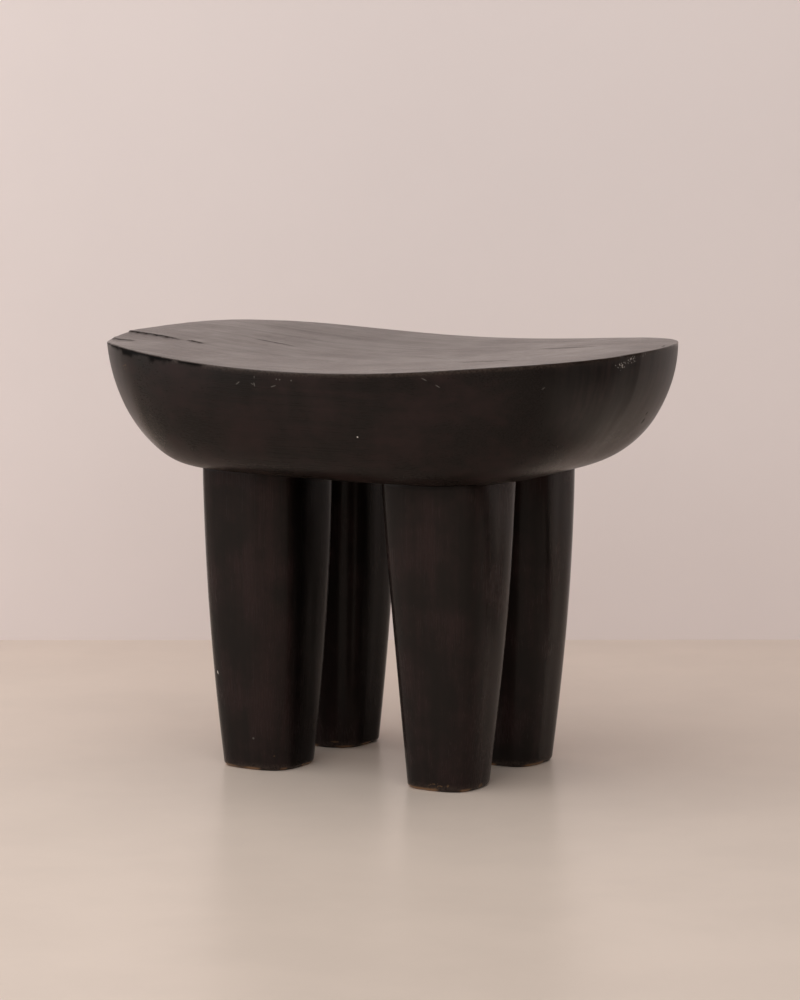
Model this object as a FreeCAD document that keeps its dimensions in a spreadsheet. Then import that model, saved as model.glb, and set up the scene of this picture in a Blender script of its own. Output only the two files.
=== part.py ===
import FreeCAD, Part
import math
import os

import Sketcher

# A carved stool: a thick saddle seat with a hull-shaped underside on four stout, tapering legs.
# Each leg has a round tenon in a blind mortise, which a hidden wedge spreads and locks there.
# Millimetres, +Z up, +X along the seat, origin on the floor under the middle of the seat.

SIZES = {
    # The block that the seat is carved from, and the hollow in its top
    "seat_length": 574,
    "seat_depth": 390,
    "block_thickness": 132,
    "hollow_depth": 21,
    "saddle_rise": 13.6,
    "lip_width": 72,
    "lip_radius": 480,
    # How the hull draws in from the rim to the flat underside
    "end_overhang": 117,
    "side_overhang": 65,
    "end_fullness": 1.78,
    "side_fullness": 2.37,
    "rim_end_flat": 30,
    "underside_end_flat": 86,
    # Legs: rounded squares that taper to the foot
    "leg_height": 303,
    "leg_top_width": 110,
    "leg_foot_width": 72,
    "leg_top_corner": 30,
    "leg_foot_corner": 20,
    "leg_fullness": 1.75,
    "leg_gap_along": 100,
    "leg_gap_across": 30,
    "foot_round": 5,
    # Wedged tenon joint
    "tenon_diameter": 50,
    "tenon_length": 66,
    "tenon_root": 12,
    "tenon_flare": 1.5,
    "glue_gap": 0.15,
    "end_gap": 2,
    "saw_cut": 1,
    "tenon_spread": 6,
    "stop_hole": 6,
    "wedge_tip_gap": 10,
    "wedge_inset": 5,
}

# How far cutters run past what they cut
OVERRUN = 20

# Sections of the hull at equal angles up its rounded side, and of a leg at equal heights
HULL_STEPS = 5
LEG_STEPS = 3

# Sketch point positions
START, END, CENTRE = 1, 2, 3
ROOT_POINT = (-1, START)
VERTICAL_AXIS = -2

# Expressions that several pieces share
UNDERSIDE = "sizes.leg_height"
RIM_HALF_LENGTH = "sizes.seat_length / 2"
RIM_HALF_DEPTH = "sizes.seat_depth / 2"
BLOCK_TOP = "(sizes.leg_height + sizes.block_thickness)"
TROUGH = f"({BLOCK_TOP} - sizes.hollow_depth)"
LIP_START = "(sizes.seat_length / 2 - sizes.lip_width)"
SADDLE_RADIUS = f"(({LIP_START} ^ 2 + sizes.saddle_rise ^ 2) / (2 * sizes.saddle_rise))"
MORTISE_DEPTH = "(sizes.tenon_length + sizes.end_gap)"
KERF_DEPTH = "(sizes.tenon_length - sizes.tenon_root)"
KERF_SLOPE = f"(sizes.tenon_spread / {KERF_DEPTH})"
MORTISE_END = f"({KERF_DEPTH} + sizes.end_gap)"
LEG_ALONG = "(sizes.leg_gap_along + sizes.leg_top_width) / 2"
LEG_ACROSS = "(sizes.leg_gap_across + sizes.leg_top_width) / 2"

# Side of the seat on which each leg stands, along X and across in Y
LEGS = {
    "front_left": (-1, -1),
    "front_right": (1, -1),
    "back_left": (-1, 1),
    "back_right": (1, 1),
}


def add_sheet(doc):
    """Puts every driving size into a cell of its own, with its name as alias."""
    sheet = doc.addObject("Spreadsheet::Sheet", "sizes")
    for row, (name, value) in enumerate(SIZES.items(), start=1):
        sheet.set(f"A{row}", name)
        sheet.set(f"B{row}", str(value))
        sheet.setAlias(f"B{row}", name)
    doc.recompute()


def bind(obj, **expressions):
    """Binds properties of an object to expressions."""
    for name, expression in expressions.items():
        obj.setExpression(name, str(expression))


def place(obj, along=0, across=0, up=0):
    """Binds the position of an object."""
    bind(obj, **{
        ".Placement.Base.x": along,
        ".Placement.Base.y": across,
        ".Placement.Base.z": up,
    })


def add_sketch(body, name, role, height="0"):
    """A sketch on one of the body's own origin planes, raised by height."""
    plane = next(item for item in body.Origin.OriginFeatures if item.Role == role)
    sketch = body.newObject("Sketcher::SketchObject", name)
    sketch.AttachmentSupport = [(plane, "")]
    sketch.MapMode = "FlatFace"
    bind(sketch, **{".AttachmentOffset.Base.z": height})
    return sketch


def constrain(sketch, kind, *where):
    """A geometric constraint."""
    sketch.addConstraint(Sketcher.Constraint(kind, *where))


def dimension(sketch, name, expression, kind, *where):
    """A named dimension that follows an expression."""
    value = float(sketch.evalExpression(expression))
    index = sketch.addConstraint(Sketcher.Constraint(kind, *where, value))
    sketch.renameConstraint(index, name)
    bind(sketch, **{f"Constraints.{name}": expression})


def draw_rounded_rectangle(sketch, half_length, half_depth, corner):
    """A rectangle with round corners, centred on the sketch's origin."""
    sizes = (half_length, half_depth, corner)
    length, depth, radius = (float(sketch.evalExpression(size)) for size in sizes)
    across = length - radius
    up = depth - radius
    quarter = math.pi / 2
    arcs = []
    for turn, (x, y) in enumerate([(across, -up), (across, up), (-across, up), (-across, -up)]):
        circle = Part.Circle(FreeCAD.Vector(x, y, 0), FreeCAD.Vector(0, 0, 1), radius)
        arcs.append(Part.ArcOfCircle(circle, (turn - 1) * quarter, turn * quarter))
    sides = [Part.LineSegment(arcs[i - 1].EndPoint, arcs[i].StartPoint) for i in range(4)]
    side = sketch.addGeometry(sides)
    arc = sketch.addGeometry(arcs)
    for i, level in enumerate(["Horizontal", "Vertical", "Horizontal", "Vertical"]):
        constrain(sketch, "Tangent", arc[i - 1], END, side[i], START)
        constrain(sketch, "Tangent", side[i], END, arc[i], START)
        constrain(sketch, level, side[i])
    for other in arc[1:]:
        constrain(sketch, "Equal", arc[0], other)
    constrain(sketch, "Symmetric", arc[0], CENTRE, arc[2], CENTRE, *ROOT_POINT)
    dimension(sketch, "half_length", half_length, "DistanceX", *ROOT_POINT, side[1], START)
    dimension(sketch, "half_depth", half_depth, "DistanceY", *ROOT_POINT, side[2], START)
    dimension(sketch, "corner", corner, "Radius", arc[0])


def add_loft(body, name, sections):
    """A smooth loft through sketches given from the top down."""
    loft = body.newObject("PartDesign::AdditiveLoft", name)
    loft.Profile = sections[0]
    loft.Sections = sections[1:]
    return loft


def boolean(doc, kind, name, base, tool):
    """A boolean of two objects."""
    result = doc.addObject(f"Part::{kind}", name)
    result.Base = base
    result.Tool = tool
    result.Refine = True
    return result


def seat_blank(doc):
    """The seat block with its hull carved and its top still flat."""
    body = doc.addObject("PartDesign::Body", "seat_blank")
    sections = []
    for step in range(HULL_STEPS, -1, -1):
        level = 1 - math.cos(step / HULL_STEPS * math.pi / 2)
        reach = [
            f"(1 - (1 - {level}) ^ sizes.{side}_fullness) ^ (1 / sizes.{side}_fullness)"
            for side in ("end", "side")
        ]
        half_length = f"{RIM_HALF_LENGTH} - sizes.end_overhang * (1 - {reach[0]})"
        half_depth = f"{RIM_HALF_DEPTH} - sizes.side_overhang * (1 - {reach[1]})"
        end_flat = f"(sizes.underside_end_flat * (1 - {level}) + sizes.rim_end_flat * {level})"
        height = f"{UNDERSIDE} + sizes.block_thickness * {level}"
        sketch = add_sketch(body, f"hull_section_{step}", "XY_Plane", height)
        draw_rounded_rectangle(sketch, half_length, half_depth, f"{half_depth} - {end_flat} / 2")
        sections.append(sketch)
    add_loft(body, "hull", sections)
    return body


def draw_saddle(sketch):
    """Outline of the hollow: a shallow arc, a rolled lip at each end, and a box above them."""
    reach = f"{RIM_HALF_LENGTH} + {OVERRUN}"
    ceiling = f"{BLOCK_TOP} + {OVERRUN}"
    sizes = (TROUGH, SADDLE_RADIUS, LIP_START, "sizes.lip_radius", reach, ceiling)
    trough, saddle, lip_start, lip, end, top = (float(sketch.evalExpression(size)) for size in sizes)
    normal = FreeCAD.Vector(0, 0, 1)
    down = -math.pi / 2
    swing = math.asin(lip_start / saddle)
    middle = Part.Circle(FreeCAD.Vector(0, trough + saddle, 0), normal, saddle)
    arcs = [Part.ArcOfCircle(middle, down - swing, down + swing)]
    lip_centre = lip_start + lip * math.sin(swing)
    lip_height = trough + saddle - (saddle + lip) * math.cos(swing)
    outward = math.asin((end - lip_centre) / lip)
    right = Part.Circle(FreeCAD.Vector(lip_centre, lip_height, 0), normal, lip)
    left = Part.Circle(FreeCAD.Vector(-lip_centre, lip_height, 0), normal, lip)
    arcs.append(Part.ArcOfCircle(right, -down - outward, -down + swing))
    arcs.append(Part.ArcOfCircle(left, -down - swing, -down + outward))
    hollow, right_lip, left_lip = sketch.addGeometry(arcs)
    corners = [
        arcs[1].StartPoint,
        FreeCAD.Vector(end, top, 0),
        FreeCAD.Vector(-end, top, 0),
        arcs[2].EndPoint,
    ]
    edges = [Part.LineSegment(a, b) for a, b in zip(corners, corners[1:])]
    right_side, ceiling_side, left_side = sketch.addGeometry(edges)

    constrain(sketch, "PointOnObject", hollow, CENTRE, VERTICAL_AXIS)
    constrain(sketch, "Horizontal", hollow, START, hollow, END)
    constrain(sketch, "Tangent", hollow, END, right_lip, END)
    constrain(sketch, "Tangent", hollow, START, left_lip, START)
    constrain(sketch, "Equal", right_lip, left_lip)
    constrain(sketch, "Coincident", right_lip, START, right_side, START)
    constrain(sketch, "Coincident", right_side, END, ceiling_side, START)
    constrain(sketch, "Coincident", ceiling_side, END, left_side, START)
    constrain(sketch, "Coincident", left_side, END, left_lip, END)
    constrain(sketch, "Vertical", right_side)
    constrain(sketch, "Horizontal", ceiling_side)
    constrain(sketch, "Vertical", left_side)
    constrain(sketch, "Horizontal", right_lip, START, left_lip, END)
    centre_height = f"{TROUGH} + {SADDLE_RADIUS}"
    dimension(sketch, "centre_height", centre_height, "DistanceY", *ROOT_POINT, hollow, CENTRE)
    dimension(sketch, "saddle_radius", SADDLE_RADIUS, "Radius", hollow)
    dimension(sketch, "lip_start", LIP_START, "DistanceX", *ROOT_POINT, hollow, END)
    dimension(sketch, "lip_radius", "sizes.lip_radius", "Radius", right_lip)
    dimension(sketch, "reach", reach, "DistanceX", *ROOT_POINT, right_side, START)
    dimension(sketch, "ceiling", ceiling, "DistanceY", *ROOT_POINT, right_side, END)


def saddle_cutter(doc):
    """What is carved away above the saddle."""
    body = doc.addObject("PartDesign::Body", "saddle_cutter")
    sketch = add_sketch(body, "saddle_outline", "XZ_Plane")
    draw_saddle(sketch)
    pad = body.newObject("PartDesign::Pad", "saddle_pad")
    pad.Profile = sketch
    pad.SideType = "Symmetric"
    bind(pad, Length=f"sizes.seat_depth + 2 * {OVERRUN}")
    return body


def leg_position(corner):
    """Expressions for a leg's axis, along and across the seat."""
    side, face = LEGS[corner]
    return f"{side} * {LEG_ALONG}", f"{face} * {LEG_ACROSS}"


def flared_peg(doc, name, corner, clearance, length):
    """A round peg that stands on the underside and widens upwards like the spread tenon."""
    peg = doc.addObject("Part::Cone", name)
    radius = f"sizes.tenon_diameter / 2 + {clearance}"
    flare = f"sizes.tenon_flare * {length} / {MORTISE_DEPTH}"
    bind(peg, Radius1=radius, Radius2=f"{radius} + {flare}", Height=length)
    place(peg, *leg_position(corner), UNDERSIDE)
    return peg


def wedge_shape(doc, name, corner, width, low, high):
    """A slim wedge in a tenon's kerf, from low to high above the kerf's stop hole."""
    wedge = doc.addObject("Part::Wedge", name)
    thin = f"(sizes.saw_cut + {KERF_SLOPE} * {low}) / 2"
    thick = f"(sizes.saw_cut + {KERF_SLOPE} * {high}) / 2"
    bind(wedge, Ymin=low, Ymax=high)
    bind(wedge, Xmin=f"-{thin}", Xmax=thin, X2min=f"-{thick}", X2max=thick)
    bind(wedge, Zmin=f"-({width}) / 2", Zmax=f"({width}) / 2")
    bind(wedge, Z2min=f"-({width}) / 2", Z2max=f"({width}) / 2")
    wedge.Placement.Rotation = FreeCAD.Rotation(FreeCAD.Vector(1, 0, 0), 90)
    place(wedge, *leg_position(corner), f"{UNDERSIDE} + sizes.tenon_root")
    return wedge


def build_seat(doc, blank):
    """The seat: the blank, hollowed on top and bored for the four tenons."""
    hollowed = boolean(doc, "Cut", "hollowed_seat", blank, saddle_cutter(doc))
    mortises = doc.addObject("Part::MultiFuse", "mortises")
    mortises.Shapes = [
        flared_peg(doc, f"mortise_{corner}", corner, "sizes.glue_gap", MORTISE_DEPTH) for corner in LEGS
    ]
    return boolean(doc, "Cut", "seat", hollowed, mortises)


def leg_post(doc, corner):
    """A leg's tapering post, run on into the seat so that it can be scribed to the hull."""
    body = doc.addObject("PartDesign::Body", f"post_{corner}")
    inside_seat = f"{UNDERSIDE} + sizes.block_thickness / 2"
    half_top = "sizes.leg_top_width / 2"
    top = add_sketch(body, f"leg_top_{corner}", "XY_Plane", inside_seat)
    draw_rounded_rectangle(top, half_top, half_top, "sizes.leg_top_corner")
    sections = [top]
    for step in range(LEG_STEPS, -1, -1):
        level = step / LEG_STEPS
        fill = f"(1 - (1 - {level}) ^ sizes.leg_fullness)"
        width = f"(sizes.leg_foot_width + (sizes.leg_top_width - sizes.leg_foot_width) * {fill})"
        rounding = f"sizes.leg_foot_corner + (sizes.leg_top_corner - sizes.leg_foot_corner) * {fill}"
        height = f"sizes.leg_height * {level}"
        sketch = add_sketch(body, f"leg_section_{corner}_{step}", "XY_Plane", height)
        draw_rounded_rectangle(sketch, f"{width} / 2", f"{width} / 2", rounding)
        sections.append(sketch)
    loft = add_loft(body, f"leg_taper_{corner}", sections)
    doc.recompute()
    sole = min(range(len(loft.Shape.Faces)), key=lambda i: loft.Shape.Faces[i].CenterOfMass.z)
    rounded = body.newObject("PartDesign::Fillet", f"foot_round_{corner}")
    rounded.Base = (loft, [f"Face{sole + 1}"])
    bind(rounded, Radius="sizes.foot_round")
    place(body, *leg_position(corner))
    return body


def build_leg(doc, corner, blank):
    """A leg: its post scribed to the hull, with a round tenon that is sawn for its wedge."""
    scribed = boolean(doc, "Cut", f"scribed_{corner}", leg_post(doc, corner), blank)
    tenon = flared_peg(doc, f"tenon_{corner}", corner, 0, "sizes.tenon_length")
    whole = boolean(doc, "Fuse", f"tenoned_{corner}", scribed, tenon)
    across = f"sizes.tenon_diameter + {OVERRUN}"
    kerf = wedge_shape(doc, f"kerf_{corner}", corner, across, 0, MORTISE_END)
    stop = doc.addObject("Part::Cylinder", f"stop_hole_{corner}")
    bind(stop, Radius="sizes.stop_hole / 2", Height=across)
    stop.Placement.Rotation = FreeCAD.Rotation(FreeCAD.Vector(1, 0, 0), -90)
    along, middle = leg_position(corner)
    place(stop, along, f"{middle} - ({across}) / 2", f"{UNDERSIDE} + sizes.tenon_root")
    slot = boolean(doc, "Fuse", f"slot_{corner}", kerf, stop)
    return boolean(doc, "Cut", f"leg_{corner}", whole, slot)


def build_wedge(doc, corner):
    """The hidden wedge: its butt stands on the mortise's end and its faces fill the kerf."""
    width = "sizes.tenon_diameter - 2 * sizes.wedge_inset"
    return wedge_shape(doc, f"wedge_{corner}", corner, width, "sizes.wedge_tip_gap", MORTISE_END)


def check(doc, pieces):
    """Stops if anything failed to build or a piece isn't one valid solid."""
    failed = [item.Name for item in doc.Objects if {"Invalid", "Error"} & set(item.State)]
    if failed:
        raise RuntimeError(f"failed objects: {failed}")
    for piece in pieces:
        shape = piece.Shape
        if shape.isNull() or not shape.isValid() or len(shape.Solids) != 1:
            raise RuntimeError(f"{piece.Label} isn't one valid solid")


def main():
    """Builds the document and writes one file for each piece."""
    doc = FreeCAD.newDocument("stool")
    add_sheet(doc)
    blank = seat_blank(doc)
    pieces = [build_seat(doc, blank)]
    pieces += [build_leg(doc, corner, blank) for corner in LEGS]
    pieces += [build_wedge(doc, corner) for corner in LEGS]
    doc.recompute()
    check(doc, pieces)
    os.makedirs("parts", exist_ok=True)
    for piece in pieces:
        piece.Shape.exportStep(os.path.join("parts", f"{piece.Label}.step"))
        print(f"{piece.Label}: {piece.Shape.Volume:.0f} mm3")


main()
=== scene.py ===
"""Looks of a carved stool of ebonised wood: a saddle seat on four stout legs, in a pale studio.

Shapes are worked out in millimetres and turned into metres when a mesh is made.
"""

import itertools
import logging
import math
from dataclasses import dataclass
from enum import Enum

import bmesh
import bpy
import numpy as np
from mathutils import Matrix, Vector
from mathutils.bvhtree import BVHTree


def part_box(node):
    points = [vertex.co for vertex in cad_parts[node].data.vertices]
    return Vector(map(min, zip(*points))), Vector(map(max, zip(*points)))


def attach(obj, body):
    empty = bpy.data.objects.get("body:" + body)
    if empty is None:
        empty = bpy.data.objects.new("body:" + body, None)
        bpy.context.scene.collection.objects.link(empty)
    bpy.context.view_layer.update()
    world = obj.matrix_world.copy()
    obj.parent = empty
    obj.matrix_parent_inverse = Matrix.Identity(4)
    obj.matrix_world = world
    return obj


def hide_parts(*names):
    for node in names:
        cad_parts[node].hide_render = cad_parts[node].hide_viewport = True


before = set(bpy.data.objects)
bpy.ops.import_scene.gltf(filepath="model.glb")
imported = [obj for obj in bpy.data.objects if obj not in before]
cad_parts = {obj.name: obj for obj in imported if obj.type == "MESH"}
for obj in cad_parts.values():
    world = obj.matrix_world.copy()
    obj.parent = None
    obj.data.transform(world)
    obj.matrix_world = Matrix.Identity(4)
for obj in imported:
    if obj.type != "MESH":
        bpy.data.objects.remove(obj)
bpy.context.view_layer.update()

LOG = logging.getLogger("stool")
MM = 0.001
QUARTER = math.pi / 2
CREASE = math.radians(40)
BODY = "root"

Array = np.ndarray
Pair = tuple[float, float]
Triple = tuple[float, float, float]
Colour = Triple
Socket = bpy.types.NodeSocket
Source = Socket | float | Triple
Inputs = dict[str | int, Source]

# Where noise turns from low to high
HILLS: Pair = (0.35, 0.65)
# Places of the colour sockets on a mix node
MIX_FIRST, MIX_SECOND, MIX_RESULT = 6, 7, 2


class Grain(Enum):
    """Which way the fibres run in a piece, as the number of the axis that they follow."""

    ALONG_SEAT = 0
    UPRIGHT = 2

    def sizes(self, along: float, across: float) -> Triple:
        """Sizes along and across the grain as sizes along X, Y and Z."""
        return tuple(along if axis == self.value else across for axis in range(3))


class Corner(Enum):
    """Where a leg stands, as the frame names it."""

    FRONT_LEFT = "front_left"
    FRONT_RIGHT = "front_right"
    BACK_LEFT = "back_left"
    BACK_RIGHT = "back_right"

    @property
    def wedge(self) -> str:
        """The name of the wedge in the corner's joint."""
        return f"wedge_{self.value}"

    @property
    def axis(self) -> Array:
        """The joint's axis in plan, from its wedge."""
        return (sum(box_mm(self.wedge)) / 2)[:2]


class Layer(Enum):
    """What is painted on the points of a piece for its finish to read."""

    WORN = "worn"
    BARE = "bare"
    POLISH = "polish"
    END_GRAIN = "end_grain"
    # Painted shade, under the seat's rim and on the legs' inner faces
    PAINTED_SHADE = "grime"


class Trace(Enum):
    """What a small mark shows, as its colour."""

    CHALK = (0.55, 0.51, 0.47)
    DUST = (0.10, 0.09, 0.082)
    TAN = (0.11, 0.065, 0.036)
    RAW = (0.30, 0.175, 0.095)
    # Painted shade of a small pit, near black
    PIT_SHADE = (0.0012, 0.0008, 0.0007)


# Small tools for shapes


def box_mm(node: str) -> tuple[Array, Array]:
    """Lowest and highest corner of a CAD node, in millimetres."""
    low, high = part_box(node)
    return np.array(low) / MM, np.array(high) / MM


def rows_of(values: bpy.types.bpy_prop_collection, name: str) -> Array:
    """Vectors that a mesh keeps.

    Args:
        values: what keeps them.
        name: the property that holds them.

    Returns:
        One row for each.
    """
    flat = np.empty(len(values) * 3, np.float32)
    values.foreach_get(name, flat)
    return flat.reshape(-1, 3).astype(float)


def points_of(piece: bpy.types.Object) -> Array:
    """Points of a piece's mesh in millimetres, one row for each."""
    return rows_of(piece.data.vertices, "co") / MM


def facing_of(piece: bpy.types.Object) -> Array:
    """Directions that a piece's points face, one unit row for each."""
    return rows_of(piece.data.vertex_normals, "vector")


def ease(value: Array, low: float, high: float) -> Array:
    """A smooth step of a value, from 0 at the low end to 1 at the high one."""
    share = np.clip((value - low) / (high - low), 0.0, 1.0)
    return share * share * (3 - 2 * share)


def signed_power(value: Array, power: float | Array) -> Array:
    """A power that keeps the sign."""
    return np.sign(value) * np.abs(value) ** power


def unit(rows: Array) -> Array:
    """Rows brought to a length of 1."""
    return rows / np.linalg.norm(rows, axis=-1, keepdims=True)


def compass(angle: float | Array) -> Array:
    """Unit directions in plan at some angles in radians."""
    return np.stack([np.cos(angle), np.sin(angle)], axis=-1)


def quarter_turn(steps: int) -> Array:
    """Angles of a rounded edge, from the first step to a right angle."""
    return np.linspace(0.0, QUARTER, steps + 1)[1:]


def outline(angle: Array, half_length: Array, half_depth: Array, fullness: Array) -> Array:
    """A rounded rectangle as a superellipse.

    Args:
        angle: where round the outline each point lies, in radians.
        half_length: its reach along X.
        half_depth: its reach along Y.
        fullness: 2 is an ellipse, and more is squarer.

    Returns:
        Points in plan, x and y last.
    """
    along = half_length * signed_power(np.cos(angle), 2 / fullness)
    across = half_depth * signed_power(np.sin(angle), 2 / fullness)
    return np.stack(np.broadcast_arrays(along, across), axis=-1)


def even_angles(
    count: int, half_length: float, half_depth: float, fullness: float, paces: int = 200
) -> Array:
    """Angles that space points evenly round an outline.

    Args:
        count: how many points.
        half_length: the outline's reach along X.
        half_depth: its reach along Y.
        fullness: its fullness.
        paces: how many paces for each point the outline is measured in.

    Returns:
        Angles in radians, from 0 anticlockwise.
    """
    fine = np.linspace(0.0, 2 * math.pi, paces * count + 1)
    steps = np.diff(outline(fine, half_length, half_depth, fullness), axis=0)
    walked = np.concatenate([[0.0], np.cumsum(np.hypot(steps[:, 0], steps[:, 1]))])
    return np.interp(np.arange(count) / count * walked[-1], walked, fine)


def raised(plan: Array, height: float | Array) -> Array:
    """Points in plan, lifted to a height."""
    return np.concatenate([plan, np.broadcast_to(height, plan.shape[:-1])[..., None]], axis=-1)


@dataclass(frozen=True)
class Ripple:
    """Smooth seeded unevenness, as a hand tool leaves it."""

    seed: int
    spacing: Triple
    height: float
    lattice: int = 32

    def at(self, points: Array) -> Array:
        """The unevenness at some points.

        Args:
            points: places in millimetres, x y z last.

        Returns:
            Heights in millimetres, up to about the ripple's own either way.
        """
        table = np.random.default_rng(self.seed).uniform(-1, 1, (self.lattice,) * 3)
        cell = points / np.array(self.spacing)
        base = np.floor(cell).astype(int)
        part = cell - base
        part = part * part * (3 - 2 * part)
        total = np.zeros(points.shape[:-1])
        for near in itertools.product((0, 1), repeat=3):
            weight = np.prod(np.where(near, part, 1 - part), axis=-1)
            index = (base + near) % self.lattice
            total += weight * table[index[..., 0], index[..., 1], index[..., 2]]
        return self.height * total


def put(name: str, data: bpy.types.ID) -> bpy.types.Object:
    """Adds an object to the scene.

    Args:
        name: its name.
        data: its mesh, lamp or camera.

    Returns:
        The object, at the origin.
    """
    item = bpy.data.objects.new(name, data)
    bpy.context.scene.collection.objects.link(item)
    return item


class Skin:
    """Points and faces of closed surfaces, gathered ring by ring."""

    def __init__(self) -> None:
        """Starts with nothing."""
        self.points: list[Array] = []
        self.faces: list[list[int]] = []
        self.count = 0

    def add(self, points: Array) -> Array:
        """Adds points.

        Args:
            points: places in millimetres, in any arrangement, x y z last.

        Returns:
            The points' numbers in the same arrangement.
        """
        shape = points.shape[:-1]
        numbers = np.arange(self.count, self.count + math.prod(shape)).reshape(shape)
        self.points.append(points.reshape(-1, 3))
        self.count += numbers.size
        return numbers

    def strip(self, below: Array, above: Array) -> None:
        """Closes the band between two rings.

        Args:
            below: the first ring's numbers, anticlockwise seen from above.
            above: the next ring's, above it on a wall or inside it on a top: as many, or twice as many.
        """
        steps = len(above) // len(below)
        ahead = np.roll(above[::steps], -1)
        back = [above[step::steps] for step in reversed(range(steps))]
        band = np.stack([below, np.roll(below, -1), ahead, *back], axis=-1)
        self.faces += band.tolist()

    def grow(self, wall: Array, points: Array) -> Array:
        """Adds a ring of points and closes the band up to it.

        Args:
            wall: the numbers of the ring that it grows from.
            points: the new ring's points.

        Returns:
            The new ring's numbers.
        """
        ring = self.add(points)
        self.strip(wall, ring)
        return ring

    def sheet(self, grid: Array) -> None:
        """Closes the cells of a grid of numbers, which faces up if it runs along X and then Y."""
        cells = [grid[:-1, :-1], grid[1:, :-1], grid[1:, 1:], grid[:-1, 1:]]
        self.faces += np.stack(cells, axis=-1).reshape(-1, 4).tolist()

    def cap(self, ring: Array) -> None:
        """Closes a ring with one flat face."""
        self.faces.append(ring.tolist())

    def tube(self, rings: list[Array]) -> None:
        """A closed solid from rings of points, with a flat face at each end.

        Args:
            rings: the rings' points, anticlockwise seen from the last one.
        """
        wall = self.add(rings[0])
        self.cap(wall[::-1])
        for ring in rings[1:]:
            wall = self.grow(wall, ring)
        self.cap(wall)

    def piece(self, name: str) -> bpy.types.Object:
        """Makes the mesh object.

        Args:
            name: the object's name.

        Returns:
            The object, in metres, at the origin.
        """
        mesh = bpy.data.meshes.new(name)
        mesh.from_pydata((np.concatenate(self.points) * MM).tolist(), [], self.faces)
        mesh.validate()
        work = bmesh.new()
        work.from_mesh(mesh)
        bmesh.ops.recalc_face_normals(work, faces=work.faces)
        work.to_mesh(mesh)
        work.free()
        return put(name, mesh)


def border(grid: Array) -> Array:
    """The outermost entries of a grid that runs along X and then Y.

    Args:
        grid: numbers or points, with an even number of cells across.

    Returns:
        The entries anticlockwise, from the middle of the +X side.
    """
    sides = [grid[-1, :-1], grid[::-1, -1][:-1], grid[0, ::-1][:-1], grid[:-1, 0]]
    return np.roll(np.concatenate(sides), -(grid.shape[1] // 2), axis=0)


def plan_grid(half_length: float, half_depth: float, cells: tuple[int, int]) -> Array:
    """A flat grid of points about the origin.

    Args:
        half_length: its reach along X.
        half_depth: its reach along Y.
        cells: how many cells along each.

    Returns:
        Points in plan, with X first.
    """
    along = np.linspace(-half_length, half_length, cells[0] + 1)
    across = np.linspace(-half_depth, half_depth, cells[1] + 1)
    return np.stack(np.meshgrid(along, across, indexing="ij"), axis=-1)


def round_ring(axis: Array, radius: float, height: float, count: int) -> Array:
    """A level circle of points."""
    angle = np.arange(count) / count * 2 * math.pi
    return raised(axis + radius * compass(angle), height)


def carve(piece: bpy.types.Object, cutter: bpy.types.Object) -> None:
    """Cuts a closed mesh out of a piece and removes the cutter.

    Args:
        piece: what is cut.
        cutter: what is taken away.
    """
    cut = piece.modifiers.new("carve", "BOOLEAN")
    cut.operation = "DIFFERENCE"
    cut.solver = "MANIFOLD"
    cut.object = cutter
    seen = piece.evaluated_get(bpy.context.evaluated_depsgraph_get())
    carved = bpy.data.meshes.new_from_object(seen)
    blank = piece.data
    piece.modifiers.clear()
    piece.data = carved
    bpy.data.meshes.remove(blank)
    carved.name = piece.name
    carved.materials.clear()
    bpy.data.meshes.remove(cutter.data)


def smooth(piece: bpy.types.Object) -> None:
    """Shades a piece smooth, with creases where its faces meet sharply."""
    piece.data.shade_smooth()
    piece.data.set_sharp_from_angle(angle=CREASE)


def paint(piece: bpy.types.Object, layers: dict[Layer, Array]) -> None:
    """Writes layers on a piece's points.

    Args:
        piece: the object.
        layers: a share from 0 to 1 for each point, for each layer.
    """
    for layer, shares in layers.items():
        written = piece.data.attributes.new(layer.value, "FLOAT", "POINT")
        written.data.foreach_set("value", shares.astype(np.float32))


def scribe(hull: BVHTree, plan: Array) -> Array:
    """Heights at which uprights meet a surface above them.

    Args:
        hull: the surface.
        plan: the uprights' places in plan.

    Returns:
        Heights in millimetres.
    """
    up = Vector((0.0, 0.0, 1.0))
    hits = [hull.ray_cast(Vector((*(place * MM), 0.0)), up)[0] for place in plan]
    return np.array([hit.z for hit in hits]) / MM


def flare(node: str, axis: Array, height: float, reach: float, slack: float = 0.7) -> float:
    """Radius of a round tenon or mortise at one height, read from a CAD node.

    Args:
        node: the node's name.
        axis: the joint's axis in plan.
        height: where it is read.
        reach: a radius that no point of the joint passes.
        slack: how far off the height a point may lie.

    Returns:
        The radius in millimetres.
    """
    points = points_of(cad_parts[node])
    away = np.hypot(*(points[:, :2] - axis).T)
    level = np.abs(points[:, 2] - height) < slack
    return float(away[level & (away < reach)].max())


# Finishes


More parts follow.
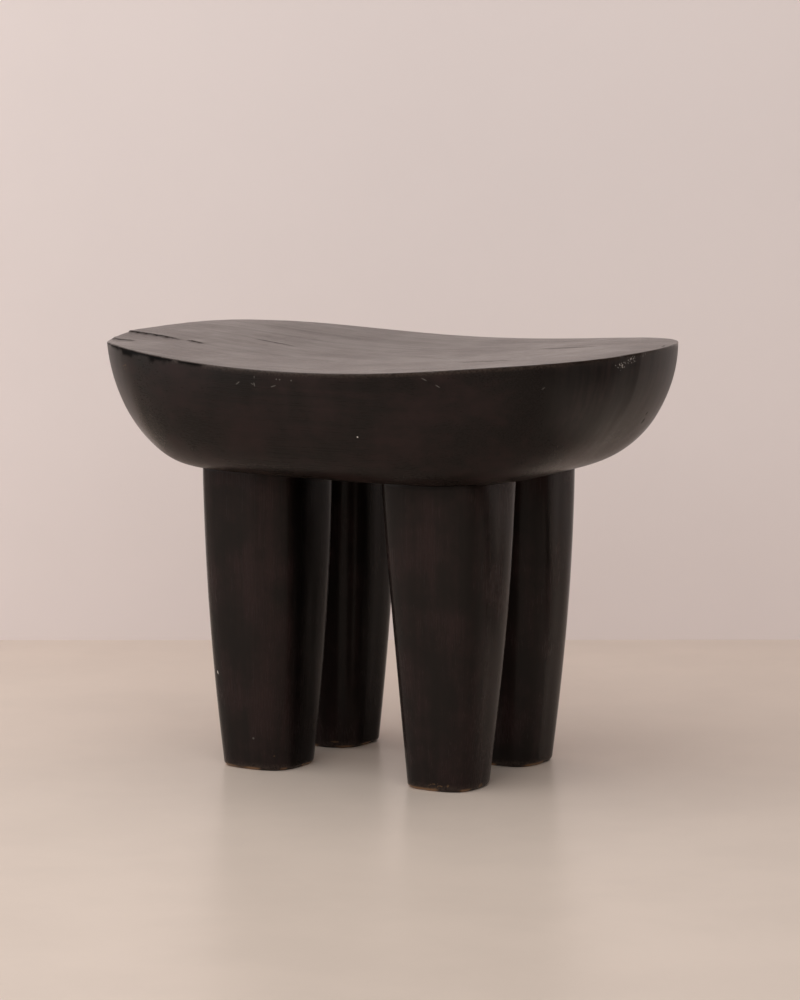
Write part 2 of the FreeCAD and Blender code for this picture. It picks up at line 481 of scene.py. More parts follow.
class Graph:
    """Short ways to add and join the nodes of a material."""

    def __init__(self, name: str) -> None:
        """Starts an empty material.

        Args:
            name: the material's name.
        """
        self.material = bpy.data.materials.new(name)
        self.material.use_nodes = True
        self.tree = self.material.node_tree
        self.tree.nodes.clear()
        self.output = self.node("ShaderNodeOutputMaterial")

    def node(self, kind: str, inputs: Inputs | None = None, **settings: object) -> bpy.types.Node:
        """Adds a node.

        Args:
            kind: Blender's name for it.
            inputs: what feeds its sockets, by their names or places.
            settings: its properties.

        Returns:
            The node.
        """
        added = self.tree.nodes.new(kind)
        for name, value in settings.items():
            setattr(added, name, value)
        for name, source in (inputs or {}).items():
            self.feed(added.inputs[name], source)
        return added

    def feed(self, target: Socket, source: Source) -> None:
        """Joins a socket to another, or sets its value.

        Args:
            target: the socket that is fed.
            source: another socket, a number, a colour or a vector.
        """
        if isinstance(source, Socket):
            self.tree.links.new(source, target)
        elif isinstance(source, tuple) and len(target.default_value) == len(source) + 1:
            target.default_value = (*source, 1.0)
        else:
            target.default_value = source

    def place(self) -> Socket:
        """The point's place on the object."""
        return self.node("ShaderNodeTexCoord").outputs["Object"]

    def painted(self, layer: Layer) -> Socket:
        """A layer that was painted on the points."""
        return self.node("ShaderNodeAttribute", attribute_name=layer.value).outputs["Fac"]

    def stretched(self, place: Socket, sizes: Triple, middle: Triple = (0, 0, 0), tilt: float = 0) -> Socket:
        """Places measured from a middle, in steps of a size along each axis.

        Args:
            place: the places.
            sizes: the steps in millimetres.
            middle: where they are measured from, in millimetres.
            tilt: how far the steps are turned about Y, in degrees.

        Returns:
            The measured places.
        """
        steps, origin = (tuple(part * MM for part in parts) for parts in (sizes, middle))
        turn = (0.0, math.radians(-tilt), 0.0)
        inputs = {"Vector": place, "Scale": steps, "Location": origin, "Rotation": turn}
        return self.node("ShaderNodeMapping", inputs, vector_type="TEXTURE").outputs["Vector"]

    def away(self, place: Socket, mark: "Mark") -> Socket:
        """How far places lie from a mark: 0 at its middle, 1 at its reach along each axis."""
        near = self.stretched(place, mark.reach, mark.place, mark.tilt)
        return self.node("ShaderNodeVectorMath", {0: near}, operation="LENGTH").outputs["Value"]

    def noise(self, place: Socket, sizes: Triple, detail: float = 2.0, harshness: float = 0.5) -> Socket:
        """Cloudy noise.

        Args:
            place: where it is read.
            sizes: how far apart its hills are along each axis, in millimetres.
            detail: how many finer layers it has.
            harshness: how strong those are.

        Returns:
            The noise, mostly between 0.3 and 0.7.
        """
        steps = self.stretched(place, sizes)
        inputs = {"Vector": steps, "Scale": 1.0, "Detail": detail, "Roughness": harshness}
        return self.node("ShaderNodeTexNoise", inputs).outputs["Fac"]

    def span(self, value: Socket, low: float, high: float, start: Source = 0.0, end: Source = 1.0) -> Socket:
        """A smooth step of a value from low to high, which goes from a start to an end."""
        inputs = {"Value": value, "From Min": low, "From Max": high, "To Min": start, "To Max": end}
        return self.node("ShaderNodeMapRange", inputs, interpolation_type="SMOOTHSTEP").outputs["Result"]

    def between(self, share: Socket, start: Source, end: Source) -> Socket:
        """A value that goes smoothly from a start to an end as a share goes from 0 to 1."""
        return self.span(share, 0.0, 1.0, start, end)

    def reckon(self, kind: str, first: Source, second: Source) -> Socket:
        """Arithmetic on two values, of a kind named as Blender names it."""
        return self.node("ShaderNodeMath", {0: first, 1: second}, operation=kind).outputs["Value"]

    def blend(self, first: Socket, second: Socket, share: float) -> Socket:
        """A mean of two values, with a share of the second."""
        rest = self.reckon("MULTIPLY", first, 1 - share)
        return self.reckon("ADD", rest, self.reckon("MULTIPLY", second, share))

    def mix(self, share: Socket, first: Source, second: Source) -> Socket:
        """One colour turning into another."""
        inputs = {"Factor": share, MIX_FIRST: first, MIX_SECOND: second}
        return self.node("ShaderNodeMix", inputs, data_type="RGBA").outputs[MIX_RESULT]

    def relief(self, height: Socket, strength: float, depth: float) -> Socket:
        """Bumps from a height, with a depth in millimetres."""
        inputs = {"Strength": strength, "Distance": depth * MM, "Height": height}
        return self.node("ShaderNodeBump", inputs).outputs["Normal"]

    def surface(self, **inputs: Source) -> bpy.types.Material:
        """Finishes the material with one shader.

        Args:
            inputs: the shader's inputs, with _ for a space.

        Returns:
            The material.
        """
        named = {name.replace("_", " "): source for name, source in inputs.items()}
        shader = self.node("ShaderNodeBsdfPrincipled", named)
        self.feed(self.output.inputs["Surface"], shader.outputs["BSDF"])
        return self.material


@dataclass(frozen=True)
class Mark:
    """A small mark on a surface: its place, its reach along each axis and its tilt in degrees."""

    place: Triple
    reach: Triple
    trace: Trace
    tilt: float = 0.0
    scattered: bool = False


@dataclass(frozen=True)
class EbonisedWood:
    """Hardwood stained near black and waxed, rubbed at its edges, with painted shade that darkens and dulls
    it where a layer or a pit mark lies.
    """

    name: str
    grain: Grain
    marks: tuple[Mark, ...]
    # Colours, and the range of noise over which one takes over from another
    black: Colour = (0.0128, 0.0098, 0.0086)
    brown: Colour = (0.0245, 0.0146, 0.0136)
    brown_from: Pair = (0.4, 0.66)
    sat_on: Colour = (0.030, 0.017, 0.012)
    end_grain: Colour = (0.0050, 0.0036, 0.0034)
    end_from: Pair = (0.3, 0.7)
    rubbed: Colour = (0.055, 0.040, 0.033)
    rubbed_from: Pair = (0.35, 0.6)
    # Sizes of the figure, where a pair is along and across the grain
    fibre: Pair = (70.0, 1.1)
    streak: Pair = (260.0, 8.0)
    cloud: Triple = (55.0, 55.0, 55.0)
    flute: Triple = (9.0, 5.0, 130.0)
    speckle: Triple = (2.2, 2.2, 2.2)
    speck: Triple = (2.4, 2.4, 1.9)
    cloud_share: float = 0.7
    haze_share: float = 0.5
    # Edges of the small marks
    ragged: float = 0.8
    mark_edge: Pair = (0.9, 1.25)
    speck_thinning: float = 0.2
    speck_edge: Pair = (0.46, 0.52)
    # Roughness and shine of the wax
    gloss: Pair = (0.25, 0.37)
    polish: Pair = (0.18, 0.28)
    end_gloss: float = 0.42
    shine: float = 0.11
    top_shine: float = 0.25
    end_shine: float = 0.5
    # Shine where painted shade lies
    dull: float = 0.03
    relief: float = 0.05
    relief_strength: float = 0.5

    def material(self) -> bpy.types.Material:
        """Builds the material.

        Returns:
            The material.
        """
        graph = Graph(self.name)
        place = graph.place()
        fibre = graph.noise(place, self.grain.sizes(*self.fibre), detail=3.0)
        streak = graph.noise(place, self.grain.sizes(*self.streak), detail=3.0, harshness=0.6)
        cloud = graph.noise(place, self.cloud, detail=4.0, harshness=0.55)
        flute = graph.noise(place, self.flute, detail=3.0, harshness=0.6)
        speckle = graph.noise(place, self.speckle, detail=3.0, harshness=0.65)
        polished = graph.painted(Layer.POLISH)
        cross_cut = graph.painted(Layer.END_GRAIN)

        tone = graph.blend(streak, cloud, self.cloud_share)
        colour = graph.mix(graph.span(tone, *self.brown_from), self.black, self.brown)
        colour = graph.mix(graph.reckon("MULTIPLY", polished, streak), colour, self.sat_on)
        end = graph.reckon("MULTIPLY", cross_cut, graph.span(flute, *self.end_from))
        colour = graph.mix(end, colour, self.end_grain)
        worn = graph.reckon("MULTIPLY", graph.painted(Layer.WORN), graph.span(speckle, *self.rubbed_from))
        colour = graph.mix(worn, colour, self.rubbed)
        colour = graph.mix(graph.painted(Layer.BARE), colour, Trace.RAW.value)
        # Painted shade: the layer and the pit marks turn the colour near black and dull the shine
        grime = graph.painted(Layer.PAINTED_SHADE)
        for mark, share in self.shares(graph, place, speckle):
            if mark.trace is Trace.PIT_SHADE:
                grime = graph.reckon("MAXIMUM", grime, share)
            else:
                colour = graph.mix(share, colour, mark.trace.value)
        colour = graph.mix(grime, colour, Trace.PIT_SHADE.value)

        least, most = (graph.between(polished, *ends) for ends in zip(self.gloss, self.polish))
        gloss = graph.span(graph.blend(fibre, cloud, self.haze_share), *HILLS, least, most)
        gloss = graph.between(cross_cut, gloss, self.end_gloss)
        shine = graph.between(polished, self.shine, self.top_shine)
        shine = graph.between(cross_cut, shine, self.end_shine)
        shine = graph.between(grime, shine, self.dull)
        relief = graph.relief(fibre, self.relief_strength, self.relief)
        return graph.surface(Base_Color=colour, Roughness=gloss, Specular_IOR_Level=shine, Normal=relief)

    def shares(self, graph: Graph, place: Socket, speckle: Socket) -> list[tuple[Mark, Socket]]:
        """How far each mark covers a point.

        Args:
            graph: the material's nodes.
            place: the point's place.
            speckle: fine noise, which makes the marks' outlines ragged.

        Returns:
            Each mark with its share from 0 to 1.
        """
        ragged = graph.reckon("MULTIPLY", speckle, self.ragged)
        specks = graph.noise(place, self.speck)
        found = []
        for mark in self.marks:
            away = graph.away(place, mark)
            if mark.scattered:
                left = graph.reckon("SUBTRACT", specks, graph.reckon("MULTIPLY", away, self.speck_thinning))
                share = graph.span(left, *self.speck_edge)
            else:
                share = graph.span(graph.reckon("ADD", away, ragged), *self.mark_edge, 1.0, 0.0)
            found.append((mark, share))
        return found


@dataclass(frozen=True)
class BareWood:
    """Split hardwood without stain."""

    name: str
    grain: Grain
    light: Colour = (0.46, 0.31, 0.18)
    dark: Colour = (0.30, 0.18, 0.10)
    fibre: Pair = (40.0, 0.9)
    roughness: float = 0.62
    relief: float = 0.1
    relief_strength: float = 0.4

    def material(self) -> bpy.types.Material:
        """Builds the material.

        Returns:
            The material.
        """
        graph = Graph(self.name)
        fibre = graph.noise(graph.place(), self.grain.sizes(*self.fibre), detail=4.0)
        colour = graph.mix(graph.span(fibre, *HILLS), self.light, self.dark)
        relief = graph.relief(fibre, self.relief_strength, self.relief)
        return graph.surface(Base_Color=colour, Roughness=self.roughness, Normal=relief)


@dataclass(frozen=True)
class PlainGround:
    """Plaster, sealed concrete or felt with a soft mottle, for the stage."""

    name: str
    colour: Colour
    mottle: float
    cloud: float
    roughness: float
    shine: float
    see_through_back: bool = False

    def material(self) -> bpy.types.Material:
        """Builds the material.

        Returns:
            The material.
        """
        graph = Graph(self.name)
        cloud = graph.noise(graph.place(), (self.cloud,) * 3, detail=5.0, harshness=0.6)
        darker = tuple(part * (1 - self.mottle) for part in self.colour)
        colour = graph.mix(graph.span(cloud, *HILLS), darker, self.colour)
        made = graph.surface(Base_Color=colour, Roughness=self.roughness, Specular_IOR_Level=self.shine)
        if self.see_through_back:
            self.open_back(graph)
        return made

    def open_back(self, graph: Graph) -> None:
        """Lets the camera see through the ground from behind.

        Args:
            graph: the nodes of its finished material.
        """
        end = graph.output.inputs["Surface"]
        behind = graph.node("ShaderNodeNewGeometry").outputs["Backfacing"]
        camera = graph.node("ShaderNodeLightPath").outputs["Is Camera Ray"]
        clear = graph.node("ShaderNodeBsdfTransparent").outputs["BSDF"]
        solid = end.links[0].from_socket
        choice = {0: graph.reckon("MULTIPLY", behind, camera), 1: solid, 2: clear}
        graph.feed(end, graph.node("ShaderNodeMixShader", choice).outputs["Shader"])


# The stool


@dataclass(frozen=True)
class Chip:
    """A nick in the rim's edge, at a bearing from the seat's middle in degrees."""

    bearing: float
    width: float
    depth: float


@dataclass(frozen=True)
class Check:
    """A drying check: a thin split along the grain of the top, in plan."""

    start: Pair
    end: Pair
    width: float
    depth: float
    lift: float
    open_start: bool = False
    lip_reach: float = 14.0
    fade_in: Pair = (-0.1, 0.3)
    fade_out: Pair = (0.7, 1.1)
    blunt: float = 0.02
    wander: float = 0.35
    over: float = 2.0
    count: int = 14

    def course(self) -> tuple[Array, Array, Array]:
        """The check's line in plan.

        Returns:
            Its start, its whole run and the unit direction across it.
        """
        start = np.array(self.start)
        run = np.array(self.end) - start
        ahead = unit(run)
        return start, run, np.array([-ahead[1], ahead[0]])

    def lip(self, plan: Array) -> Array:
        """How far the wood behind the check stands proud.

        Args:
            plan: points in plan.

        Returns:
            Heights in millimetres.
        """
        start, run, across = self.course()
        share = (plan - start) @ unit(run) / np.linalg.norm(run)
        behind = (plan - start) @ across * np.sign(run[0])
        fade = 1 - ease(share, *self.fade_out)
        if not self.open_start:
            fade = fade * ease(share, *self.fade_in)
        return self.lift * fade * np.exp(-np.clip(behind, 0.0, None) / self.lip_reach) * (behind > 0)

    def cut(self, skin: Skin, seat: "Seat", seed: int) -> None:
        """Adds the blade that cuts the check.

        Args:
            skin: takes the blade's points and faces.
            seat: the seat that it cuts.
            seed: sets how the check wanders.
        """
        share = np.linspace(0.0, 1.0, self.count)
        taper = np.sqrt((1 - share if self.open_start else np.sin(math.pi * share)) + self.blunt)
        start, run, across = self.course()
        wander = np.random.default_rng(seed).normal(0.0, self.wander, self.count)
        path = start + run * share[:, None] + across * wander[:, None]
        level = seat.top_height(path)
        depth = self.depth * taper
        half = self.width / 2 * taper * (depth + self.over) / depth
        foot = raised(path, level - depth)
        left, right = (raised(path + across * side[:, None], level + self.over) for side in (half, -half))
        skin.tube([np.stack(ring) for ring in zip(foot, left, right)])


@dataclass
class Seat:
    """The thick seat: a saddle top, a worn rim, a hull and a flat underside."""

    node: str = "seat"
    slot: str = "seat_wood"
    margin: float = 0.7
    # The rim, and the saddle that dips between its ends
    rim_fullness: float = 2.87
    saddle_depth: float = 14.9
    saddle_roll: float = 1.78
    tilt_along: float = 2.2
    tilt_across: float = 0.45
    dish: float = 4.5
    edge: float = 1.3
    crisp: float = 0.5
    crisp_along: Pair = (40.0, 140.0)
    # The left end's front corner sags, and the right end has a facet hewn beside its middle
    sag: float = 3.6
    sag_place: Pair = (-280.0, -95.0)
    sag_reach: float = 45.0
    facet: float = 2.0
    facet_across: float = -13.0
    facet_turn: float = 18.0
    facet_reach: float = 50.0
    facet_along: Pair = (0.0, 100.0)
    facet_climb: Pair = (0.3, 0.8)
    # The hull draws in to the underside, where a pair is for the left end and the right one
    under_half_length: Pair = (190.0, 164.5)
    under_half_depth: float = 130.0
    under_fullness: Pair = (3.61, 3.78)
    end_fullness: Pair = (1.52, 1.90)
    side_fullness: float = 2.37
    end_turn: float = 2.5
    ripple_climb: Pair = (0.02, 0.3)
    # How finely the mesh is divided
    cells: tuple[int, int] = (200, 132)
    inner: Pair = (225.0, 135.0)
    under_inner: Pair = (118.0, 92.0)
    top_rings: int = 14
    edge_rings: int = 6
    hull_rings: int = 48
    under_rings: int = 4
    # The mortises
    mortise_reach: float = 28.0
    mortise_cover: float = 40.0
    borer_sides: int = 96
    borer_overrun: float = 1.0
    # Where the rim is rubbed, and hands polish the top and the left end's lower edge
    rub_reach: float = 3.0
    top_skin: Pair = (0.5, 2.0)
    dulled: float = 0.35
    dulled_along: Pair = (170.0, 280.0)
    handled_end: Pair = (0.3, 0.6)
    handled_below: Pair = (-0.05, 0.3)
    # Where the ends turn across the grain, and painted shade lies under the rim
    right_end_grain: Pair = (0.62, 0.98)
    left_end_grain: Pair = (0.35, 0.75)
    hull_turn: Pair = (0.35, 0.75)
    hull_loss: float = 0.85
    painted_shade_depth: Pair = (5.0, 1.5)
    painted_shade_left: Pair = (60.0, 150.0)
    painted_shade_front: Pair = (0.0, 60.0)
    painted_shade_right: Pair = (230.0, 270.0)
    painted_shade_ragged: float = 0.7
    painted_shade_edge: Pair = (0.0, 1.5)
    painted_shade_start: Pair = (0.3, 1.2)
    chips: tuple[Chip, ...] = (
        Chip(-151, 5, 1.3),
        Chip(-146, 3, 0.9),
        Chip(-139, 6, 1.0),
        Chip(-131, 4, 0.8),
        Chip(-163, 4, 1.6),
        Chip(-103, 3, 0.8),
        Chip(-50, 4, 0.9),
        Chip(-46, 2.5, 0.7),
        Chip(-9, 4, 1.2),
        Chip(14, 3, 0.9),
    )
    checks: tuple[Check, ...] = (
        Check((-292, -40), (-212, -57), 1.6, 9.0, 1.4, open_start=True),
        Check((-207, -54), (-184, -59), 1.0, 4.0, 0.9),
        Check((-282, -86), (-238, -98), 1.2, 6.0, 1.0, open_start=True),
        Check((-176, 20), (-120, 13), 0.6, 2.0, 0.4),
        Check((279, 48), (275, 62), 1.3, 4.0, 0.0),
        Check((96, -44), (178, -52), 0.6, 2.0, 0.4),
        Check((120, 88), (196, 80), 0.6, 2.0, 0.4),
    )
    marks: tuple[Mark, ...] = (
        Mark((283, -45, 422), (14, 12, 5), Trace.CHALK, scattered=True),
        Mark((285, -27, 426), (14, 10, 4), Trace.CHALK, scattered=True),
        Mark((286, -5, 428), (14, 8, 4), Trace.DUST, scattered=True),
        Mark((-57, -193, 399.5), (4.4, 8, 0.7), Trace.DUST, 35),
        Mark((-38, -193, 406.4), (0.6, 8, 1.8), Trace.DUST),
        Mark((-38, -193, 399), (3.0, 8, 0.8), Trace.DUST, 105),
        Mark((-40.5, -193, 399.5), (2.4, 8, 0.5), Trace.DUST, -25),
        Mark((-12.7, -194, 405.6), (1.1, 8, 1.0), Trace.DUST),
        Mark((-9, -194, 405.4), (1.3, 8, 0.9), Trace.DUST),
        Mark((-16.5, -194, 398.6), (4.6, 8, 0.7), Trace.DUST, 18),
        Mark((4, -194, 405.2), (1.1, 8, 1.0), Trace.DUST, 30),
        Mark((145, -183, 413), (4.2, 8, 0.6), Trace.DUST, -25),
        Mark((158, -180, 407), (3.2, 8, 0.6), Trace.DUST, -30),
        Mark((246, -133, 405.3), (2.4, 6, 0.5), Trace.DUST, 40),
        Mark((73, -186, 354), (1.1, 6, 1.0), Trace.CHALK),
        Mark((-210, -157, 404), (5, 7, 6), Trace.TAN, scattered=True),
        # Two pits near the right end, as painted shade
        Mark((259, 47, 357), (14, 4.2, 4.0), Trace.PIT_SHADE),
        Mark((265, 44, 365), (14, 2.0, 2.6), Trace.PIT_SHADE),
    )
    ripples: tuple[Ripple, ...] = (
        Ripple(11, (75, 75, 60), 0.7),
        Ripple(12, (20, 20, 34), 0.16),
        Ripple(15, (10, 10, 120), 0.09),
    )
    top_ripples: tuple[Ripple, ...] = (Ripple(13, (120, 24, 900), 0.2), Ripple(16, (160, 7, 900), 0.1))
    edge_ripple: Ripple = Ripple(14, (14, 14, 900), 0.8)
    painted_shade_ripple: Ripple = Ripple(17, (15, 15, 8), 1.0)

    def __post_init__(self) -> None:
        """Takes the seat's size from the frame and works out its rim."""
        low, high = box_mm(self.node)
        self.reach = high[:2] - self.margin
        self.half_length, self.half_depth = self.reach
        self.crest = high[2] - self.margin
        self.underside = low[2]
        self.angle = even_angles(2 * sum(self.cells), *self.reach, self.rim_fullness)
        self.rim = outline(self.angle, *self.reach, self.rim_fullness)
        self.rim_height = self.top_height(self.rim)
        power = 2 * (self.rim_fullness - 1) / self.rim_fullness
        self.outward = unit(signed_power(compass(self.angle), power) / self.reach)

    def rim_share(self, plan: Array) -> Array:
        """How far out points lie: 0 at the middle, 1 on the rim."""
        share = np.abs(plan) / self.reach
        return np.sum(share**self.rim_fullness, axis=-1) ** (1 / self.rim_fullness)

    def top_height(self, plan: Array) -> Array:
        """Height of the top.

        Args:
            plan: points in plan.

        Returns:
            Heights in millimetres.
        """
        along = plan[..., 0] / self.half_length
        across = plan[..., 1] / self.half_depth
        roll = self.saddle_roll * along**2 + (1 - self.saddle_roll) * along**4
        saddle = self.crest - self.saddle_depth * (1 - roll)
        tilt = self.tilt_along * (along - 1) + self.tilt_across * across
        dish = self.dish * np.clip(1 - self.rim_share(plan) ** 2, 0, 1) ** 2
        off_corner = np.linalg.norm(plan - np.array(self.sag_place), axis=-1)
        sag = self.sag * np.exp(-((off_corner / self.sag_reach) ** 2))
        uneven = sum(ripple.at(raised(plan, 0.0)) for ripple in self.top_ripples)
        lips = sum(check.lip(plan) for check in self.checks)
        return saddle + tilt - dish - sag + uneven + lips

    def hull(self, climb: Array) -> Array:
        """A ring of the hull, with its tool marks and the right end's facet.

        Args:
            climb: how far up each point is: 0 at the underside, 1 at the rim.

        Returns:
            Points in millimetres.
        """
        right = 0.5 + 0.5 * np.tanh(self.end_turn * np.cos(self.angle))
        pairs = (self.end_fullness, self.under_fullness, self.under_half_length)
        ends, under, under_length = (pair[0] * (1 - right) + pair[1] * right for pair in pairs)
        out_end = (1 - (1 - climb) ** ends) ** (1 / ends)
        out_side = (1 - (1 - climb) ** self.side_fullness) ** (1 / self.side_fullness)
        half_length = under_length + (self.half_length - under_length) * out_end
        half_depth = self.under_half_depth + (self.half_depth - self.under_half_depth) * out_side
        fullness = under + (self.rim_fullness - under) * out_end
        plan = outline(self.angle, half_length, half_depth, fullness)
        points = raised(plan, self.underside + (self.rim_height - self.underside) * climb)
        uneven = sum(ripple.at(points) for ripple in self.ripples) * ease(climb, *self.ripple_climb)
        beside = np.clip(self.facet_across - points[:, 1], 0.0, None)
        hewn = self.facet * (1 - np.exp(-beside / self.facet_turn))
        hewn *= np.exp(-((beside / self.facet_reach) ** 2))
        hewn *= ease(points[:, 0], *self.facet_along) * ease(climb, *self.facet_climb)
        points[:, :2] += self.outward * (np.minimum(uneven, self.margin) - hewn)[:, None]
        return points

    def edge_radius(self) -> Array:
        """How far the rim's edge is rubbed or chipped round.

        Returns:
            Radii in millimetres, one for each point of the rim.
        """
        radius = self.edge + np.abs(self.edge_ripple.at(raised(self.rim, 0.0)))
        radius *= 1 - self.crisp * ease(self.rim[:, 0], *self.crisp_along)
        for chip in self.chips:
            towards = compass(math.radians(chip.bearing))
            facing = self.rim @ towards
            beside = np.abs(self.rim @ np.array([-towards[1], towards[0]]))
            radius += chip.depth * np.exp(-((beside / chip.width) ** 4)) * (facing > 0)
        return radius

    def build_blank(self) -> bpy.types.Object:
        """The seat's outside as one closed mesh.

        Returns:
            The object.
        """
        skin = Skin()
        flat = plan_grid(*self.under_inner, (self.cells[0] // 2, self.cells[1] // 2))
        numbers = skin.add(raised(flat, self.underside))
        skin.sheet(numbers[::-1])
        wall = border(numbers)
        inner, outer = border(flat), self.hull(np.zeros(len(self.angle)))
        for share in np.linspace(0.0, 1.0, self.under_rings + 2)[1:-1]:
            plan = inner * (1 - share) + outer[::2, :2] * share
            wall = skin.grow(wall, raised(plan, self.underside))
        wall = skin.grow(wall, outer)

        radius = self.edge_radius()
        top_climb = 1 - radius / (self.rim_height - self.underside)
        for step in range(1, self.hull_rings + 1):
            points = self.hull((1 - math.cos(step / self.hull_rings * QUARTER)) * top_climb)
            wall = skin.grow(wall, points)

        out = self.outward * radius[:, None]
        centre = points[:, :2] - out
        lift = self.top_height(centre) - points[:, 2]
        for turn in quarter_turn(self.edge_rings):
            height = points[:, 2] + lift * math.sin(turn)
            wall = skin.grow(wall, raised(centre + out * math.cos(turn), height))

        flat = plan_grid(*self.inner, self.cells)
        inner = border(flat)
        for share in np.linspace(1.0, 0.0, self.top_rings + 1)[1:-1]:
            plan = inner * (1 - share) + centre * share
            wall = skin.grow(wall, raised(plan, self.top_height(plan)))
        numbers = skin.add(raised(flat, self.top_height(flat)))
        skin.strip(wall, border(numbers))
        skin.sheet(numbers)
        return skin.piece("carved_seat")

    def build(self) -> bpy.types.Object:
        """Carves the seat: the blank, its checks and its mortises.

        Returns:
            The object.
        """
        piece = self.build_blank()
        splits = Skin()
        for seed, check in enumerate(self.checks):
            check.cut(splits, self, seed)
        carve(piece, splits.piece("check_blades"))
        bores = Skin()
        for corner in Corner:
            end = box_mm(corner.wedge)[1][2]
            levels = (self.underside, end)
            mouth, bottom = (flare(self.node, corner.axis, level, self.mortise_reach) for level in levels)
            rings = [(mouth, self.underside - self.borer_overrun), (mouth, self.underside), (bottom, end)]
            bores.tube([round_ring(corner.axis, *ring, self.borer_sides) for ring in rings])
        carve(piece, bores.piece("mortise_borer"))
        smooth(piece)
        return piece

    def dress(self, piece: bpy.types.Object, finish: bpy.types.Material) -> None:
        """Paints the wear and the shade under the rim, and puts on the finish.

        Args:
            piece: the seat.
            finish: the material.
        """
        points = points_of(piece)
        plan = points[:, :2]
        along, across = plan.T
        left_facing, _, down_facing = -facing_of(piece).T
        below = self.top_height(plan) - points[:, 2]
        hull = ease(below, *self.top_skin)
        inwards = (1 - self.rim_share(plan)) * np.linalg.norm(plan, axis=1)
        worn = np.exp(-((np.hypot(below, inwards) / self.rub_reach) ** 2))
        bare = np.zeros(len(points))
        for corner in Corner:
            bored = np.hypot(*(plan - corner.axis).T) < self.mortise_reach
            bare = np.maximum(bare, bored & (points[:, 2] < self.crest - self.mortise_cover))
        polish = (1 - hull) * (1 - self.dulled * ease(along, *self.dulled_along))
        handled = ease(left_facing, *self.handled_end) * ease(down_facing, *self.handled_below)
        ends = np.maximum(ease(-left_facing, *self.right_end_grain), ease(left_facing, *self.left_end_grain))
        end_grain = ends * (1 - self.hull_loss * ease(down_facing, *self.hull_turn)) * hull
        # Painted shade: a ragged dark band under the rim, deep at the left front and thin at the right end
        left_front = ease(-along, *self.painted_shade_left) * ease(-across, *self.painted_shade_front)
        depth = self.painted_shade_depth[0] * left_front + self.painted_shade_depth[1] * ease(along, *self.painted_shade_right)
        ragged = depth * (1 + self.painted_shade_ragged * self.painted_shade_ripple.at(points)) - below
        grime = ease(ragged, *self.painted_shade_edge) * ease(below, *self.painted_shade_start)
        layers = {Layer.WORN: worn, Layer.BARE: bare, Layer.POLISH: np.maximum(polish, handled)}
        paint(piece, layers | {Layer.END_GRAIN: end_grain, Layer.PAINTED_SHADE: grime})
        piece.data.materials.append(finish)


